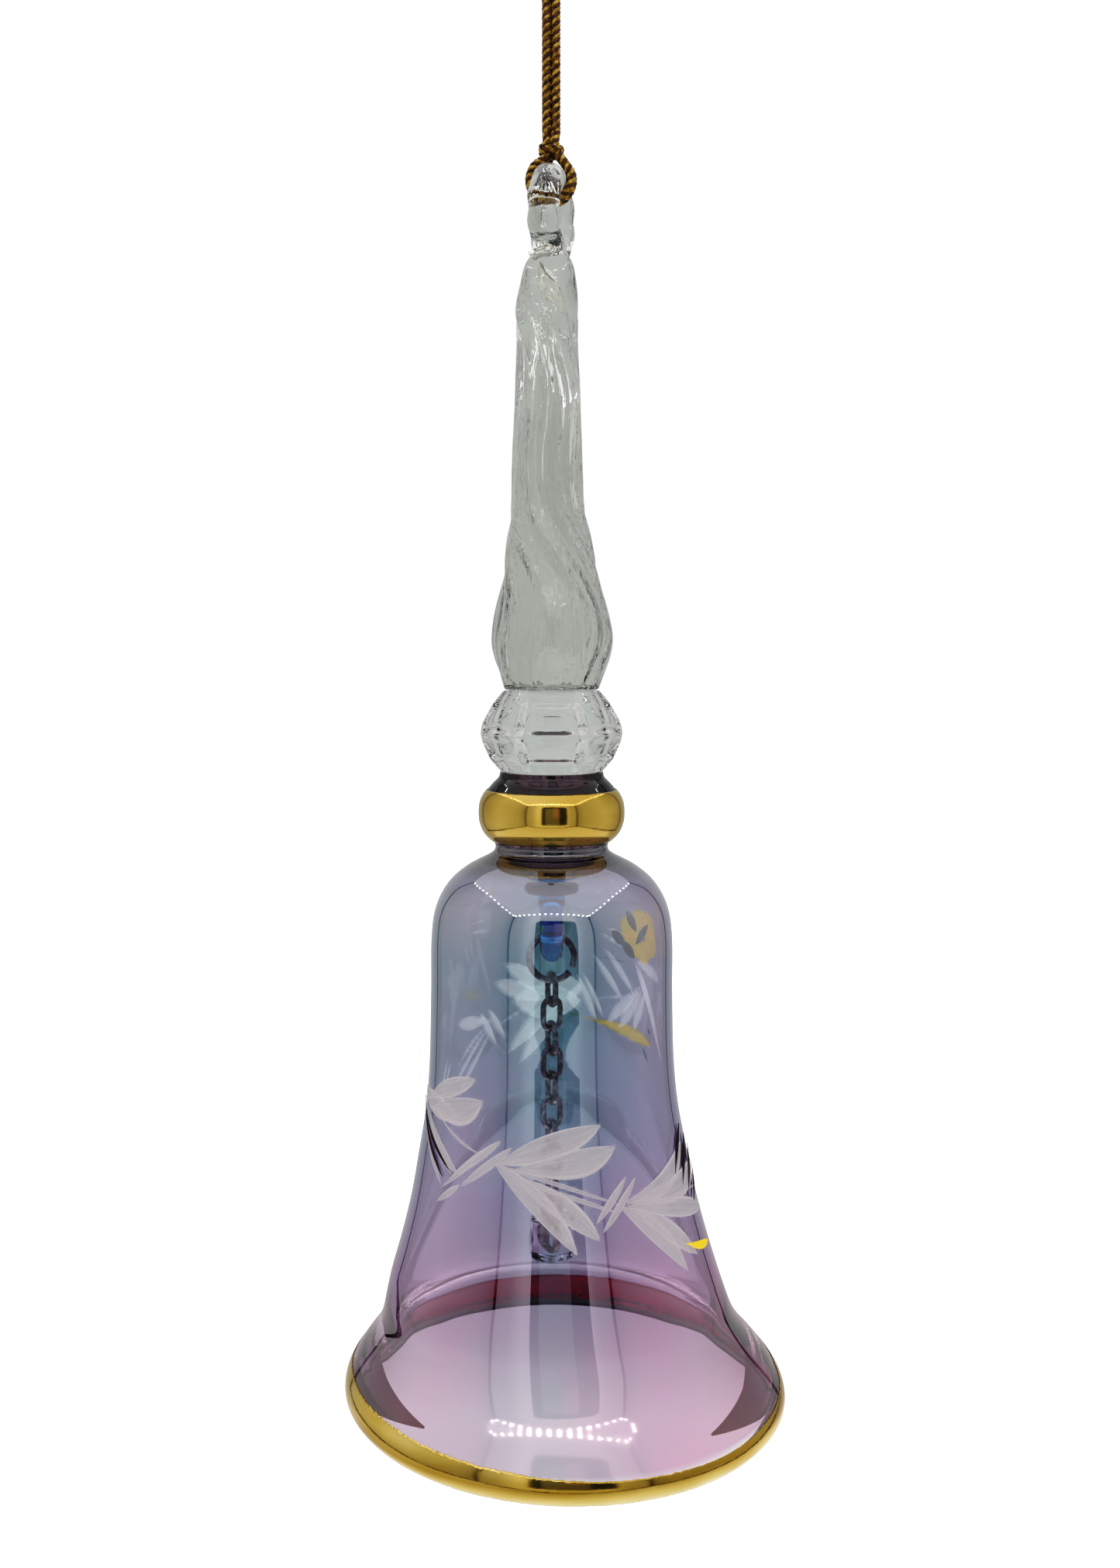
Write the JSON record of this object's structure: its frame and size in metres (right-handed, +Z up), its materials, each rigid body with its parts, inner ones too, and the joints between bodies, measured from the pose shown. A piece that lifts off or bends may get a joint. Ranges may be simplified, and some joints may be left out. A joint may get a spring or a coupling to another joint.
{
  "type": "glass bell",
  "caption": "Hanging blown-glass bell with a gilded lip and collar, a long clear handle, a glass clapper on a fine chain, and a gold cord loop.",
  "frame": {"origin": "the point inside the cord loop where a hook bears, on the bell's axis", "axes": "+Z up along the bell's axis, +X to the right as seen from the front, +Y away from the viewer"},
  "size_m": [0.054, 0.054, 0.191],
  "materials": {
    "iridescent_glass": "glossy, blue at the top to violet and pink at the lip",
    "clear_glass": "glossy, colourless",
    "purple_glass": "glossy, deep violet",
    "blue_glass": "glossy, deep blue",
    "gold_leaf": "polished fired gold",
    "dark_steel": "darkened wire, glossy",
    "gold_cord": "twisted metallic thread"
  },
  "bodies": {
    "cord": {"hanging_cord": "gold_cord", "cord_knot": "gold_cord"},
    "hitch": {"cord_hitch": "gold_cord"},
    "bell": {"hanging_eye": "clear_glass", "handle_stem": "clear_glass", "faceted_knop": "clear_glass", "upper_neck": "purple_glass", "collar": "purple_glass", "collar_gilding": "gold_leaf", "lower_neck": "purple_glass", "bell_shell": "iridescent_glass", "rim_gilding": "gold_leaf", "clapper_hook": "blue_glass", "hook_bead": "blue_glass"},
    "jump_ring": {"jump_ring": "dark_steel"},
    "chain_link_1": {"chain_link_1": "dark_steel"},
    "chain_link_2": {"chain_link_2": "dark_steel"},
    "chain_link_3": {"chain_link_3": "dark_steel"},
    "chain_link_4": {"chain_link_4": "dark_steel"},
    "chain_link_5": {"chain_link_5": "dark_steel"},
    "chain_link_6": {"chain_link_6": "dark_steel"},
    "chain_link_7": {"chain_link_7": "dark_steel"},
    "chain_link_8": {"chain_link_8": "dark_steel"},
    "chain_link_9": {"chain_link_9": "dark_steel"},
    "clapper": {"anchor_link": "dark_steel", "inner_anchor_link": "dark_steel", "clapper": "clear_glass"}
  },
  "joints": [
    {"name": "side_sway", "type": "hinge", "parent": "cord", "child": "hitch", "pos_m": [0, 0, -0.0417], "axis": [0, 1, 0], "range_deg": [-20, 20]},
    {"name": "front_swing", "type": "hinge", "parent": "hitch", "child": "bell", "pos_m": [0, 0, -0.0488], "axis": [0.9659, -0.2588, 0], "range_deg": [-25, 25]},
    {"name": "ring_swing", "type": "hinge", "parent": "bell", "child": "jump_ring", "pos_m": [0, 0, -0.13345], "axis": [1, 0, 0], "range_deg": [-20, 20]},
    {"name": "link_1_swing", "type": "hinge", "parent": "jump_ring", "child": "chain_link_1", "pos_m": [0, 0, -0.13885], "axis": [-1, 0, 0], "range_deg": [-22, 22]},
    {"name": "link_2_swing", "type": "hinge", "parent": "chain_link_1", "child": "chain_link_2", "pos_m": [0, 0, -0.14181], "axis": [-0.4226, 0.9063, 0], "range_deg": [-25, 25]},
    {"name": "link_3_swing", "type": "hinge", "parent": "chain_link_2", "child": "chain_link_3", "pos_m": [0, 0, -0.14482], "axis": [0.9063, 0.4226, 0], "range_deg": [-28, 28]},
    {"name": "link_4_swing", "type": "hinge", "parent": "chain_link_3", "child": "chain_link_4", "pos_m": [0, 0, -0.14783], "axis": [0.4226, -0.9063, 0], "range_deg": [-30, 30]},
    {"name": "link_5_swing", "type": "hinge", "parent": "chain_link_4", "child": "chain_link_5", "pos_m": [0, 0, -0.15084], "axis": [-0.9063, -0.4226, 0], "range_deg": [-35, 35]},
    {"name": "link_6_swing", "type": "hinge", "parent": "chain_link_5", "child": "chain_link_6", "pos_m": [0, 0, -0.15385], "axis": [-0.4226, 0.9063, 0], "range_deg": [-35, 35]},
    {"name": "link_7_swing", "type": "hinge", "parent": "chain_link_6", "child": "chain_link_7", "pos_m": [0, 0, -0.15686], "axis": [0.9063, 0.4226, 0], "range_deg": [-35, 35]},
    {"name": "link_8_swing", "type": "hinge", "parent": "chain_link_7", "child": "chain_link_8", "pos_m": [0, 0, -0.15987], "axis": [0.4226, -0.9063, 0], "range_deg": [-35, 35]},
    {"name": "link_9_swing", "type": "hinge", "parent": "chain_link_8", "child": "chain_link_9", "pos_m": [0, 0, -0.16288], "axis": [-0.9063, -0.4226, 0], "range_deg": [-35, 35]},
    {"name": "clapper_swing", "type": "hinge", "parent": "chain_link_9", "child": "clapper", "pos_m": [0, 0, -0.16589], "axis": [-0.4226, 0.9063, 0], "range_deg": [-35, 35]}
  ]
}
